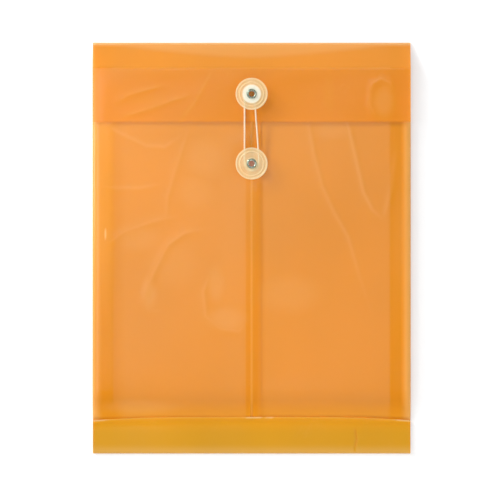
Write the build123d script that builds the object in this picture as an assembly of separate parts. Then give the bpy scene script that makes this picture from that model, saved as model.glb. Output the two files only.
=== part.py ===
from build123d import *
import math
import os

# String tie envelope, lying on its back: X runs across it, Y from the bottom fold up to the crease of the
# flap, and Z out of its front. One sheet of film is folded and welded into a pocket with side gussets, a
# bottom tab and a flap. Two riveted buttons and a tie string hold the flap shut. Lengths are millimetres.

# Film, one sheet that is folded at its creases
envelope_width = 248.0
envelope_height = 321.0
film = 0.2
layer_gap = 0.05
crease_gap = 0.1

# Pocket: clear height inside, side gussets, edge of the mouth, which is cut lower in the middle than at the
# gussets, and the two films of the middle seam. Drops are measured from the top crease.
pocket_loft = 6.0
gusset_depth = 16.0
gusset_end_drop = 3.0
mouth_side_drop = 6.0
mouth_middle_drop = 12.7
left_overlap = 7.0
right_overlap = 5.0

# Bottom tab, and the foot of the front that rises from it
tab_depth = 26.0
tab_fold_gap = 0.25
foot_length = 24.0

# Flap: its depth and the place of its second score, both from the top crease, the height of that crease, the
# radius of a score, and the level run between a score and the next piece
flap_depth = 62.0
score_drop = 20.0
crease_height = 1.2
score_radius = 2.0
score_run = 1.0

# Buttons, placed from the edge of the flap
upper_button_rise = 21.5
lower_button_drop = 32.7
disc_radius = 12.5
disc_thickness = 1.0
disc_edge_round = 0.3
rim_width = 1.1
rim_height = 0.35
ring_radius = 9.3
ring_width = 0.9
ring_height = 0.25
hub_radius = 4.6
neck_round = 0.25

# Eyelets, each with a domed flange on its button and a clinched roll under the film
eyelet_bore_radius = 2.3
eyelet_wall = 0.25
eyelet_fit = 0.1
flange_radius = 3.9
flange_height = 0.6
clinch_radius = 3.7
clinch_height = 0.6
clinch_clearance = 0.6

# String: round cord, its air to what it lies on, its air between two turns, how much each half turn of the
# tied end widens, and the corners of the strand that comes back
string_diameter = 1.2
string_clearance = 0.25
turn_gap = 0.5
tie_step = 0.85
strand_start = 6.0
strand_level_run = 9.0
tuck_offset = 2.5
corner_share = 0.45
tuck_share = 0.9

# Stations along the foot of the front that the gussets follow, and points per string diameter to measure
foot_stations = 12
points_per_diameter = 3

# Places across and along the envelope
side_x = envelope_width / 2
top_y = envelope_height / 2
bottom_y = -envelope_height / 2
mouth_side_y = top_y - mouth_side_drop
mouth_middle_y = top_y - mouth_middle_drop
score_y = top_y - score_drop
score_start_y = score_y - score_run
inner_crease_x = side_x - gusset_depth
tab_edge_y = bottom_y + tab_depth
foot_end_y = tab_edge_y + foot_length
flap_edge_y = top_y - flap_depth
upper_button_y = flap_edge_y + upper_button_rise
lower_button_y = flap_edge_y - lower_button_drop

# Films that lie flat on the table where the pocket is shut, counted from the back
layer_pitch = film + layer_gap
back_layer, gusset_back_layer, gusset_front_layer, right_front_layer, left_front_layer = range(5)

# Undersides of the raised films, and the height of the flap's outer face
right_front_under = film + pocket_loft
left_front_under = right_front_under + layer_pitch
front_top = left_front_under + film
flap_under = front_top + clinch_height + clinch_clearance
flap_top = flap_under + film
crease_middle = crease_height / 2

# Slope that flap and front share between the two scores, as height over length
crease_roll = crease_middle - crease_gap / 2 - film / 2
slope_start_y = top_y - film / 2 - crease_roll - score_run
slope_share = (flap_top - crease_height) / (slope_start_y - score_y)

# Fits of string, buttons and eyelets: the tied turn lies low on the hub, the last turn above it
string_low = flap_top + string_clearance + string_diameter / 2
string_high = string_low + string_diameter + turn_gap
hub_height = string_high + string_diameter / 2 + string_clearance - flap_top
disc_top = hub_height + disc_thickness
loop_radius = hub_radius + string_clearance + string_diameter / 2
barrel_radius = eyelet_bore_radius + eyelet_wall
hole_radius = barrel_radius + eyelet_fit

across = Vector(1, 0, 0)
upwards = Vector(0, 1, 0)
outwards = Vector(0, 0, 1)


def layer_middle(layer):
    """Height of the middle of a film that lies flat in the stack on the back."""
    return layer * layer_pitch + film / 2


# Height of the middle of the bottom fold, which is also the radius of its outer face
tab_fold_middle = layer_middle(right_front_layer) + film / 2 + tab_fold_gap / 2
tab_fold_y = bottom_y + tab_fold_middle


def film_along(edges, low_x, high_x):
    """Film laid along a line in the YZ plane, from low_x to high_x across it."""
    path = Wire(edges)
    start = Plane(origin=path @ 0, x_dir=across, z_dir=path % 0)
    strip = sweep(start * Rectangle(high_x - low_x, film), path=path)
    return Pos((low_x + high_x) / 2, 0, 0) * strip


def level_film(low_x, high_x, low_y, high_y, under, hole_y):
    """Flat film with its underside at a height, pierced in the middle for an eyelet."""
    sheet = Pos((low_x + high_x) / 2, (low_y + high_y) / 2) * Rectangle(high_x - low_x, high_y - low_y)
    sheet -= Pos(0, hole_y) * Circle(hole_radius)
    return Pos(0, 0, under) * extrude(sheet, film)


def level_bend(start, end):
    """Two equal arcs that leave start level and reach end level."""
    middle = (start + end) / 2
    heading = upwards if end.Y > start.Y else -upwards
    first = TangentArc(start, middle, tangent=heading)
    second = TangentArc(middle, end, tangent=first % 1)
    return [first, second]


def back_panel():
    """The whole back, with the lower half of the top crease rolled up at its end."""
    roll_end = Vector(0, top_y - film / 2, crease_middle - crease_gap / 2)
    roll_start = Vector(0, roll_end.Y - crease_roll, film / 2)
    flat = Line(Vector(0, tab_fold_y, film / 2), roll_start)
    roll = TangentArc(roll_start, roll_end, tangent=upwards)
    return film_along([flat, roll], -side_x, side_x)


def tab_fold(layer, low_x, high_x, lower_end_y):
    """One film of the bottom tab: along the bottom, round the fold and up over the front."""
    low_turn = Vector(0, tab_fold_y, layer_middle(layer))
    high_turn = Vector(0, tab_fold_y, tab_fold_middle * 2 - low_turn.Z)
    edges = [TangentArc(low_turn, high_turn, tangent=-upwards)]
    edges.append(Line(high_turn, Vector(0, tab_edge_y - crease_gap, high_turn.Z)))
    if lower_end_y > tab_fold_y:
        edges.insert(0, Line(Vector(0, lower_end_y, low_turn.Z), low_turn))
    return film_along(edges, low_x, high_x)


def gusset_tab(side):
    """Both leaves of a gusset, folded up inside the bottom tab."""
    low_x, high_x = sorted((side * side_x, side * inner_crease_x))
    back_leaf = tab_fold(gusset_back_layer, low_x, high_x, tab_edge_y)
    front_leaf = tab_fold(gusset_front_layer, low_x, high_x, tab_edge_y)
    return back_leaf + front_leaf


def foot_line(layer, under):
    """Line of a half of the front, from the edge of the tab up to the height of the pocket."""
    start = Vector(0, tab_edge_y + crease_gap, layer_middle(layer))
    return level_bend(start, Vector(0, foot_end_y, under + film / 2))


def gusset_stations(layer, under):
    """Places along Y, each with the height of the gusset's top there, from the tab to its upper end."""
    path = Wire(foot_line(layer, under))
    places = [path @ (step / foot_stations) for step in range(foot_stations + 1)]
    stations = [(place.Y, place.Z - film / 2 - layer_gap) for place in places]
    stations[0] = (tab_edge_y, stations[0][1])
    stations.append((score_start_y, under - layer_gap))
    slope_drop = (mouth_side_y - score_y) * slope_share
    stations.append((mouth_side_y, under - slope_drop - layer_gap))
    stations.append((top_y - gusset_end_drop, layer_middle(gusset_front_layer) + film / 2))
    return stations


def gusset_leaf(side, layer, under, is_front):
    """One leaf of a gusset, from the outer crease at the side of the envelope in to the inner crease."""
    outer_x = side * side_x
    inner_x = side * inner_crease_x
    low = layer_middle(gusset_back_layer) - film / 2
    sections = []
    for place_y, top in gusset_stations(layer, under):
        middle = (low + top) / 2
        outer = top - film if is_front else low
        inner = middle + layer_gap / 2 if is_front else middle - layer_gap / 2 - film
        corners = [(outer_x, outer), (outer_x, outer + film), (inner_x, inner + film), (inner_x, inner)]
        outline = Polyline([Vector(x, place_y, z) for x, z in corners], close=True)
        sections.append(make_face(outline))
    return loft(sections, ruled=True)


def mouth_strip(low_x, high_x, under):
    """End of a half of the front: past the score it slopes down to the mouth, whose edge is cut in an arc."""
    start = Vector(0, score_start_y, under + film / 2)
    score = start + upwards * score_run
    run = mouth_side_y - score_y
    end = score + upwards * run - outwards * run * slope_share
    strip = film_along(FilletPolyline(start, score, end, radius=score_radius).edges(), low_x, high_x)
    left_end = Vector(-inner_crease_x, mouth_side_y)
    right_end = Vector(inner_crease_x, mouth_side_y)
    edge = ThreePointArc(left_end, Vector(0, mouth_middle_y), right_end)
    past_end = upwards * film
    past = Polyline(right_end, right_end + past_end, left_end + past_end, left_end)
    return strip - extrude(make_face(Curve() + [edge, past]), flap_under)


def flap_rise():
    """Upper half of the top crease, and the strip that slopes up from it to the second score."""
    roll_start = Vector(0, top_y - film / 2, crease_middle + crease_gap / 2)
    roll_end = roll_start - upwards * crease_roll + outwards * crease_roll
    roll = TangentArc(roll_start, roll_end, tangent=outwards)
    low_score = roll_end - upwards * score_run
    high_score = Vector(0, score_y, flap_under + film / 2)
    rise_end = high_score - upwards * score_run
    slope = FilletPolyline(roll_end, low_score, high_score, rise_end, radius=score_radius)
    return film_along([roll] + slope.edges(), -side_x, side_x)


def button():
    """Moulded disc on a hub, with a raised rim and a raised ring; it stands on the film at zero height."""
    rim_inner = disc_radius - rim_width
    ring_inner = ring_radius - ring_width / 2
    ring_outer = ring_radius + ring_width / 2
    corners = [
        (hole_radius, 0),
        (hub_radius, 0),
        (hub_radius, hub_height),
        (disc_radius, hub_height),
        (disc_radius, disc_top + rim_height),
        (rim_inner, disc_top + rim_height),
        (rim_inner, disc_top),
        (ring_outer, disc_top),
        (ring_outer, disc_top + ring_height),
        (ring_inner, disc_top + ring_height),
        (ring_inner, disc_top),
        (hole_radius, disc_top),
    ]
    section = make_face(Polyline(corners, close=True))
    section = fillet(section.vertices().group_by(Axis.X)[-1], disc_edge_round)
    neck = section.vertices().sort_by_distance((hub_radius, hub_height))[0]
    section = fillet(neck, neck_round)
    return revolve(Plane.XZ * section, Axis.Z)


def eyelet(grip):
    """Metal eyelet: barrel through a button and its films, domed flange above, clinched roll below."""
    dome_middle = ((eyelet_bore_radius + flange_radius) / 2, disc_top + flange_height)
    roll_middle = ((eyelet_bore_radius + clinch_radius) / 2, -grip - clinch_height)
    bore_top = (eyelet_bore_radius, disc_top)
    bore_end = (eyelet_bore_radius, -grip)
    flange_edge = (flange_radius, disc_top)
    clinch_edge = (clinch_radius, -grip)
    outline = Curve() + [
        ThreePointArc(flange_edge, dome_middle, bore_top),
        Line(bore_top, bore_end),
        ThreePointArc(bore_end, roll_middle, clinch_edge),
        Polyline(clinch_edge, (barrel_radius, -grip), (barrel_radius, disc_top), flange_edge),
    ]
    return revolve(Plane.XZ * make_face(outline), Axis.Z)


def corner_radius(before, corner, after, share):
    """Largest radius whose arc takes a share of the shorter run at a corner of the string's route."""
    turn = math.radians((corner - before).get_angle(after - corner))
    shorter = min((corner - before).length, (after - corner).length)
    return shorter * share / math.tan(turn / 2)


def returning_strand():
    """From the lower hub up to the upper one, rising over the tied turn and tucked in under the button."""
    start = Vector(loop_radius, lower_button_y, string_low)
    lift = start + upwards * strand_start
    tuck = Vector(tuck_offset, upper_button_y - loop_radius, string_high)
    level_share = strand_level_run / (tuck.Y - lift.Y)
    level = Vector(tuck.X + (lift.X - tuck.X) * level_share, tuck.Y - strand_level_run, string_high)
    end = Vector(0, tuck.Y, string_high)
    radii = [
        corner_radius(start, lift, level, corner_share),
        corner_radius(lift, level, tuck, corner_share),
        corner_radius(level, tuck, end, tuck_share),
    ]
    print("string corner radii", [round(radius, 1) for radius in radii])
    return FilletPolyline(start, lift, level, tuck, end, radius=radii).edges()


def string_route():
    """Line of the string: tied turn, left strand, loop on the lower hub, right strand, last turn."""
    tied_radius = loop_radius + tie_step / 2
    first_radius = tied_radius + tie_step
    tied_right = Vector(loop_radius + tie_step, upper_button_y, string_low)
    tied_start = Vector(tied_right.X - first_radius, upper_button_y - first_radius, string_low)
    left_top = Vector(-loop_radius, upper_button_y, string_low)
    left_end = Vector(-loop_radius, lower_button_y, string_low)
    right_start = Vector(loop_radius, lower_button_y, string_low)
    last_start = Vector(0, upper_button_y - loop_radius, string_high)
    last_top = Vector(0, upper_button_y + loop_radius, string_high)
    last_right = Vector(loop_radius, upper_button_y, string_high)
    edges = [
        Line(tied_start - across * string_diameter, tied_start),
        TangentArc(tied_start, tied_right, tangent=across),
        TangentArc(tied_right, left_top, tangent=upwards),
        Line(left_top, left_end),
        TangentArc(left_end, right_start, tangent=-upwards),
        *returning_strand(),
        TangentArc(last_start, last_top, tangent=-across),
        TangentArc(last_top, last_right, tangent=across),
        Line(last_right, last_right - upwards * string_diameter),
    ]
    return Wire(edges)


def least_gap(route):
    """Least air between two places of the string that are not next to each other along it."""
    count = round(route.length / string_diameter * points_per_diameter)
    places = [route @ (step / count) for step in range(count + 1)]
    apart = round(math.pi * points_per_diameter)
    pairs = [(one, two) for one in range(count + 1) for two in range(one + apart, count + 1)]
    return min((places[one] - places[two]).length for one, two in pairs) - string_diameter


def tie_string():
    """The string as one round tube along its whole route."""
    route = string_route()
    start = Plane(origin=route @ 0, z_dir=route % 0)
    tube = sweep(start * Circle(string_diameter / 2), path=route)
    section = math.pi * string_diameter**2 / 4
    print("string length", round(route.length, 1), "least gap", round(least_gap(route), 2))
    print("string volume over section times length", round(tube.volume / (section * route.length), 4))
    return tube


def envelope():
    """All pieces by name."""
    on_flap = Pos(0, upper_button_y, flap_top)
    on_front = Pos(0, lower_button_y, front_top)
    pieces = {
        "back_panel": back_panel(),
        "bottom_tab_outer": tab_fold(back_layer, -side_x, side_x, tab_fold_y),
        "bottom_tab_inner": tab_fold(right_front_layer, -side_x, side_x, tab_edge_y - crease_gap),
        "flap_rise": flap_rise(),
        "flap_panel": level_film(-side_x, side_x, flap_edge_y, score_start_y, flap_under, upper_button_y),
        "upper_button": on_flap * button(),
        "lower_button": on_front * button(),
        "upper_eyelet": on_flap * eyelet(film),
        "lower_eyelet": on_front * eyelet(layer_pitch + film),
        "tie_string": tie_string(),
    }
    halves = [
        ("left", -1, left_front_layer, left_front_under, -side_x, left_overlap),
        ("right", 1, right_front_layer, right_front_under, -right_overlap, side_x),
    ]
    for name, side, layer, under, low_x, high_x in halves:
        pieces[f"front_{name}_foot"] = film_along(foot_line(layer, under), low_x, high_x)
        panel = level_film(low_x, high_x, foot_end_y, score_start_y, under, lower_button_y)
        pieces[f"front_{name}_panel"] = panel
        pieces[f"front_{name}_mouth"] = mouth_strip(low_x, high_x, under)
        pieces[f"{name}_gusset_back_leaf"] = gusset_leaf(side, layer, under, False)
        pieces[f"{name}_gusset_front_leaf"] = gusset_leaf(side, layer, under, True)
        pieces[f"{name}_gusset_tab"] = gusset_tab(side)
    return pieces


os.makedirs("parts", exist_ok=True)
for node, solid in envelope().items():
    export_step(solid, f"parts/{node}.step")
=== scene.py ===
import math

import bmesh
import bpy
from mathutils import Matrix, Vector


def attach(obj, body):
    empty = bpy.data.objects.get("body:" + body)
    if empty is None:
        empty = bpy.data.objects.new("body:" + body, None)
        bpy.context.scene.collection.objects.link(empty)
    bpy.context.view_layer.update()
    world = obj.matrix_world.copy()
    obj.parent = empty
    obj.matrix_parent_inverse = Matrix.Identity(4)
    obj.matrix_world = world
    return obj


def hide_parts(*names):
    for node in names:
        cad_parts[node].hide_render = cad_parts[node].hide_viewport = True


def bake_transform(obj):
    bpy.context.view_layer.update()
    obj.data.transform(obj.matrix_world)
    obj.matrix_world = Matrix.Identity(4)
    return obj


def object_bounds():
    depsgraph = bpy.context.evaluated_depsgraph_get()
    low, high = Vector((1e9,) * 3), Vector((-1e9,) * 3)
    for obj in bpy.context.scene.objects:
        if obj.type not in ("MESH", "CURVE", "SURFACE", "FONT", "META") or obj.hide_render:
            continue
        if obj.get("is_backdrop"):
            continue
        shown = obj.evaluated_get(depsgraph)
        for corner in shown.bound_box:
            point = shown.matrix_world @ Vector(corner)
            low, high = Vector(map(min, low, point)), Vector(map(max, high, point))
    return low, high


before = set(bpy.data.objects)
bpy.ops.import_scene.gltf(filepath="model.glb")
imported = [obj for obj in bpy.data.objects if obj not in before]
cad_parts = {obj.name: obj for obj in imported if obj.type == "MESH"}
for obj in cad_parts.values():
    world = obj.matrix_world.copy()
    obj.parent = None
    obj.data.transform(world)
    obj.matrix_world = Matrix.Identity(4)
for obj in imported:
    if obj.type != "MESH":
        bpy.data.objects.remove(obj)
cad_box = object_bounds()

# Back panel: the whole back of the envelope, one sheet of translucent orange polypropylene film.
# It is cut with the flap from one blank and lies flat on the table. Its top end is rolled up into the
# crease that the flap turns on. Sizes are millimetres and become metres when a mesh is made.
mm = 0.001
film_thickness = 0.2
film_step = 1.0
crease_gap = 0.1
crease_roll = 0.45
crease_roll_steps = 6
side_x = 124.0
top_y = 160.5
roll_start_y = top_y - crease_gap - crease_roll
back_height = 0.1
fold_start_y = -159.425
inner_crease_x = 108.0
mouth_side_y = 158.0
mouth_middle_y = 147.8
mouth_curve = 1.6
step_rounding = 1e-6


def smooth_step(value, low, high):
    """Soft step from 0 at low to 1 at high."""
    share = min(max((value - low) / (high - low), 0.0), 1.0)
    return share * share * (3 - 2 * share)


def spread(*stops):
    """Places from one stop to the next; between two stops stands the widest step from one to the other."""
    places = []
    for start, step, end in zip(stops[0::2], stops[1::2], stops[2::2]):
        count = max(1, math.ceil(abs(end - start) / step - step_rounding))
        places += [start + (end - start) * index / count for index in range(count)]
    return places + [stops[-1]]


def grid_faces(columns, rows):
    """Quads of a grid of points that is listed row by row."""
    starts = [row * columns + column for row in range(rows - 1) for column in range(columns - 1)]
    return [(start, start + 1, start + columns + 1, start + columns) for start in starts]


def put_in_scene(name, mesh, material):
    """Object of a finished mesh, in its material."""
    mesh.materials.append(material)
    piece = bpy.data.objects.new(name, mesh)
    bpy.context.collection.objects.link(piece)
    return piece


def store(mesh, name, values):
    """Keeps one value for each point of a mesh, for its material to read."""
    mesh.attributes.new(name, "FLOAT", "POINT").data.foreach_set("value", values)


def film_piece(name, points, faces, whitening_and_painted_light, material, painted_light_cover=None):
    """Closed film round a middle surface, with its whitening and painted light (deepening and painted shade
    below zero) and its extra cover that paints light, by point.
    """
    middle = bmesh.new()
    corners = [middle.verts.new(point) for point in points]
    middle.verts.index_update()
    for face in faces:
        middle.faces.new([corners[index] for index in face])
    middle.normal_update()
    half = film_thickness / 2
    places = [vert.co + vert.normal * half for vert in corners]
    places += [vert.co - vert.normal * half for vert in corners]
    count = len(points)
    rims = []
    for edge in middle.edges:
        if edge.is_boundary:
            loop = edge.link_loops[0]
            rims.append((loop.vert.index, loop.link_loop_next.vert.index))
    middle.free()
    shell = list(faces)
    shell += [tuple(index + count for index in reversed(face)) for face in faces]
    shell += [(two, one, one + count, two + count) for one, two in rims]
    mesh = bpy.data.meshes.new(name)
    mesh.from_pydata([place * mm for place in places], [], shell)
    store(mesh, "whitening_and_painted_light", list(whitening_and_painted_light) * 2)
    if painted_light_cover:
        store(mesh, "painted_light_cover", list(painted_light_cover) * 2)
    mesh.polygons.foreach_set("use_smooth", [True] * len(shell))
    sharp = {frozenset((one + lift, two + lift)) for one, two in rims for lift in (0, count)}
    for edge in mesh.edges:
        edge.use_edge_sharp = frozenset(edge.vertices) in sharp
    piece = put_in_scene(name, mesh, material)
    return piece


def feed(node, values):
    """Gives sockets of a node what they take: links from other sockets, or plain numbers and colours."""
    for key, value in values.items():
        if isinstance(value, bpy.types.NodeSocket):
            node.id_data.links.new(value, node.inputs[key])
        else:
            node.inputs[key].default_value = value


def add_node(tree, kind, values=(), **settings):
    """New node with its settings and what its sockets take."""
    node = tree.nodes.new(kind)
    for key, value in settings.items():
        setattr(node, key, value)
    feed(node, dict(values))
    return node


def noise_over(tree, scale, detail, roughness=0.5, distortion=0.0):
    """Noise on the object's own coordinates, with features per metre along each axis."""
    place = add_node(tree, "ShaderNodeTexCoord").outputs["Object"]
    scaled = add_node(tree, "ShaderNodeMapping", {"Vector": place, "Scale": scale}).outputs["Vector"]
    values = {"Detail": detail, "Roughness": roughness, "Distortion": distortion}
    return add_node(tree, "ShaderNodeTexNoise", {"Vector": scaled, "Scale": 1.0, **values}).outputs["Fac"]


def remap(socket, from_low, from_high, to_low, to_high):
    """Value of a socket moved from one range to another, and held inside it."""
    values = {"From Min": from_low, "From Max": from_high, "To Min": to_low, "To Max": to_high}
    return add_node(socket.id_data, "ShaderNodeMapRange", {"Value": socket, **values}).outputs["Result"]


def combine(operation, one, two):
    """A socket put together with another one, or with a number, by one sum."""
    return add_node(one.id_data, "ShaderNodeMath", {0: one, 1: two}, operation=operation).outputs["Value"]


mix_inputs = (0, 6, 7)
mix_output = 2


def mix_colours(share, one, two, blend="MIX"):
    """Mix of two colours, each a socket or a plain colour, by the share that a socket gives."""
    values = dict(zip(mix_inputs, (share, one, two)))
    node = add_node(share.id_data, "ShaderNodeMix", values, data_type="RGBA", blend_type=blend)
    return node.outputs[mix_output]


def relief_of(height, strength, depth):
    """Normal of a fine relief, from a socket that gives its height."""
    values = {"Height": height, "Strength": strength, "Distance": depth}
    return add_node(height.id_data, "ShaderNodeBump", values).outputs["Normal"]


def read_stored(tree, name):
    """Value that a mesh keeps for each of its points."""
    return add_node(tree, "ShaderNodeAttribute", attribute_name=name).outputs["Fac"]


def new_material(name):
    """New material, with its node tree and its shader."""
    material = bpy.data.materials.new(name)
    material.use_nodes = True
    return material, material.node_tree, material.node_tree.nodes["Principled BSDF"]


film_tint = (1.0, 0.367, 0.009)
panel_whitened = (1.0, 0.62, 0.25)
film_cover = 0.48
film_ior = 1.5
noise_middle = (0.3, 0.7)
cloud_scale = (9, 7, 9)
tint_swing = 0.05
drawn_line_scale = (900, 6, 40)
drawn_line_roughness = 0.02
scuff_scale = (70, 45, 70)
scuff_pale = 0.05
scuff_roughness = (0.09, 0.16)
pale_cover = 0.3
drawn_line_height = 0.3
cloud_height = 2.0
film_sockets = (
    ("INPUT", "Color", ("Tint", "Whitened")),
    ("INPUT", "Float", ("Whitening And Painted Light", "Painted Light Cover", "Cover")),
    ("OUTPUT", "Color", ("Colour",)),
    ("OUTPUT", "Float", ("Roughness", "Cover", "Height")),
)


def film_skin_group():
    """Look of the film: cloudy tint, drawing lines, scuffs, whitening where it was creased, and the painted
    highlights, reflections, shade and extra cover that the meshes give it.
    """
    tree = bpy.data.node_groups.new("film_skin", "ShaderNodeTree")
    for way, kind, names in film_sockets:
        for name in names:
            tree.interface.new_socket(name, in_out=way, socket_type=f"NodeSocket{kind}")
    given = add_node(tree, "NodeGroupInput").outputs
    clouds = noise_over(tree, cloud_scale, detail=2.0)
    drawn_lines = noise_over(tree, drawn_line_scale, detail=3.0)
    scuffs = noise_over(tree, scuff_scale, detail=6.0, roughness=0.7, distortion=0.6)
    swing = remap(clouds, *noise_middle, 1 - tint_swing, 1 + tint_swing)
    shaded = add_node(tree, "ShaderNodeVectorMath", {0: given["Tint"], "Scale": swing}, operation="SCALE")
    scuffed = combine("MULTIPLY", remap(scuffs, 0.6, 0.78, 0.0, 1.0), scuff_pale)
    # The pale share carries crease whitening and painted highlights and reflections; the deep share carries
    # painted shade and a deeper tint.
    pale_share = combine("MAXIMUM", given["Whitening And Painted Light"], scuffed)
    deep_share = combine("MAXIMUM", combine("MULTIPLY", given["Whitening And Painted Light"], -1.0), 0.0)
    deepened = mix_colours(deep_share, shaded.outputs["Vector"], given["Tint"], "MULTIPLY")
    scuff_rough = remap(scuffs, 0.35, 0.8, *scuff_roughness)
    line_rough = remap(drawn_lines, *noise_middle, 0.0, drawn_line_roughness)
    # Extra cover that paints light is added to the film's own cover.
    backed = combine("ADD", given["Cover"], given["Painted Light Cover"])
    raised = combine("MULTIPLY", drawn_lines, drawn_line_height)
    add_node(tree, "NodeGroupOutput", {
        "Colour": mix_colours(pale_share, deepened, given["Whitened"]),
        "Roughness": combine("ADD", scuff_rough, line_rough),
        "Cover": combine("ADD", backed, combine("MULTIPLY", pale_share, pale_cover)),
        "Height": combine("ADD", raised, combine("MULTIPLY", clouds, cloud_height)),
    })
    return tree


film_skin = film_skin_group()


def film_material(name, tint, whitened, cover):
    """Glossy film of one tint, which covers a share of what lies under each of its faces."""
    material, tree, shader = new_material(name)
    skin = add_node(tree, "ShaderNodeGroup", {
        "Tint": (*tint, 1),
        "Whitened": (*whitened, 1),
        "Whitening And Painted Light": read_stored(tree, "whitening_and_painted_light"),
        "Painted Light Cover": read_stored(tree, "painted_light_cover"),
        "Cover": cover,
    }, node_tree=film_skin).outputs
    feed(shader, {
        "IOR": film_ior,
        "Base Color": skin["Colour"],
        "Roughness": skin["Roughness"],
        "Alpha": skin["Cover"],
        "Normal": relief_of(skin["Height"], strength=0.25, depth=0.00002),
    })
    return material


panel_film = film_material("panel_film", film_tint, panel_whitened, film_cover)


def arc_line(centre_y, centre_z, radius, start, end, steps):
    """Places on an arc in the YZ plane, with angles in degrees from +Y towards +Z."""
    angles = [math.radians(start + (end - start) * step / steps) for step in range(steps + 1)]
    return [(centre_y + radius * math.cos(a), centre_z + radius * math.sin(a)) for a in angles]


def mouth_edge(x):
    """Place of the cut edge of the front's mouth along the envelope; the back is bare above it."""
    share = min(abs(x) / inner_crease_x, 1.0)
    return mouth_middle_y + (mouth_side_y - mouth_middle_y) * share**mouth_curve


bare_back_reflection = 0.3
back_roll_pale = 0.5


def back_whitening_and_painted_light(x, y):
    """Above the mouth the back gets a painted reflection, and where it rolls up into the top crease it is
    whitened more.
    """
    bare = bare_back_reflection * smooth_step(y, mouth_edge(x) - 0.3, mouth_edge(x) + 2.5)
    return max(back_roll_pale * smooth_step(y, top_y - 1.5, top_y - 0.2), bare)


back_fine_x = 116.0
back_fine_y = 140.0
back_xs = spread(-side_x, film_step, -back_fine_x, 4.0, back_fine_x, film_step, side_x)
back_ys = spread(fold_start_y, 8.0, back_fine_y, 0.8, roll_start_y - 0.5)
back_line = [(y, back_height) for y in back_ys]
back_line += arc_line(roll_start_y, back_height + crease_roll, crease_roll, -90, 0, crease_roll_steps)
back_points = [Vector((x, y, z)) for y, z in back_line for x in back_xs]
back_shares = [back_whitening_and_painted_light(x, y) for y, _ in back_line for x in back_xs]
back_faces = grid_faces(len(back_xs), len(back_line))
back = film_piece("back_panel_film", back_points, back_faces, back_shares, panel_film)
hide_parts("back_panel")
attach(back, "pocket")

# Front halves: the left and the right side of the same film, folded over to the front and lapped in the
# middle. Each rises from the bottom tab over a foot to the height of the pocket, rolls over at its side
# into the gusset, and slopes down past the score to the mouth, whose edge is cut lower in the middle.
tab_edge_y = -134.5
foot_end_y = -110.5
score_y = 140.5
foot_bulge = 1.6
slope = 0.3713
score_bend = 1.2
seam_left_x = -5.0
seam_right_x = 7.0
lower_button_y = 65.8
hole_radius = 2.65
hole_patch = 4.0
side_roll_width = 5.0
side_roll_drop = 1.4
right_levels = (0.85, 6.3)
left_levels = (1.1, 6.55)


def between(value, start, full, fade, end):
    """Share of a soft-edged band, which comes in from start to full and goes out from fade to end."""
    return smooth_step(value, start, full) * (1 - smooth_step(value, fade, end))


def pierced_sheet(xs, ys, hole_y, place):
    """Points and faces of a sheet over xs and ys, with a round hole on the middle line for an eyelet."""
    columns = len(xs)
    points = [place(x, y) for y in ys for x in xs]
    first_row, last_row = (ys.index(hole_y + side * hole_patch) for side in (-1, 1))
    first_column, last_column = (xs.index(side * hole_patch) for side in (-1, 1))

    def is_whole(face):
        row, column = divmod(face[0], columns)
        return not (first_row <= row < last_row and first_column <= column < last_column)

    faces = [face for face in grid_faces(columns, len(ys)) if is_whole(face)]
    loop = [first_row * columns + column for column in range(first_column, last_column)]
    loop += [row * columns + last_column for row in range(first_row, last_row)]
    loop += [last_row * columns + column for column in range(last_column, first_column, -1)]
    loop += [row * columns + first_column for row in range(last_row, first_row, -1)]
    rim_points = [points[index] for index in loop]
    for share in (0.5, 1.0):
        ring = []
        for rim in rim_points:
            outwards = Vector((rim.x, rim.y - hole_y, 0)).normalized()
            hole_edge = outwards * hole_radius + Vector((0, hole_y, 0))
            flat = Vector((rim.x, rim.y, 0)).lerp(hole_edge, share)
            ring.append(len(points))
            points.append(place(flat.x, flat.y))
        faces += [(loop[index - 1], loop[index], ring[index], ring[index - 1]) for index in range(len(loop))]
        loop = ring
    return points, faces


def distance_to_run(x, y, one, two):
    """Distance of a place from a straight run between two places, and how far along the run it lies."""
    run_x, run_y = two[0] - one[0], two[1] - one[1]
    share = ((x - one[0]) * run_x + (y - one[1]) * run_y) / (run_x**2 + run_y**2)
    share = min(max(share, 0.0), 1.0)
    return math.hypot(x - one[0] - run_x * share, y - one[1] - run_y * share), share


ridge_reach = 3
ridge_ends = (0.0, 0.2, 0.7, 1.0)
patch_core = 0.25


def ridge(x, y, line, half_width):
    """Height share of a soft crease along a line of places, which runs out at both ends."""
    reach = ridge_reach * half_width
    xs, ys = zip(*line)
    if not (min(xs) - reach < x < max(xs) + reach and min(ys) - reach < y < max(ys) + reach):
        return 0.0
    spots = [distance_to_run(x, y, one, two) for one, two in zip(line, line[1:])]
    nearest = min(range(len(spots)), key=lambda index: spots[index][0])
    distance, share = spots[nearest]
    if distance > reach:
        return 0.0
    along = (nearest + share) / len(spots)
    return math.exp(-((distance / half_width) ** 2)) * between(along, *ridge_ends)


def patch(x, y, middle_x, middle_y, half_width, half_height):
    """Share of a soft-edged round patch at a place."""
    reach = math.hypot((x - middle_x) / half_width, (y - middle_y) / half_height)
    return 1 - smooth_step(reach, patch_core, 1.0)


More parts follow.
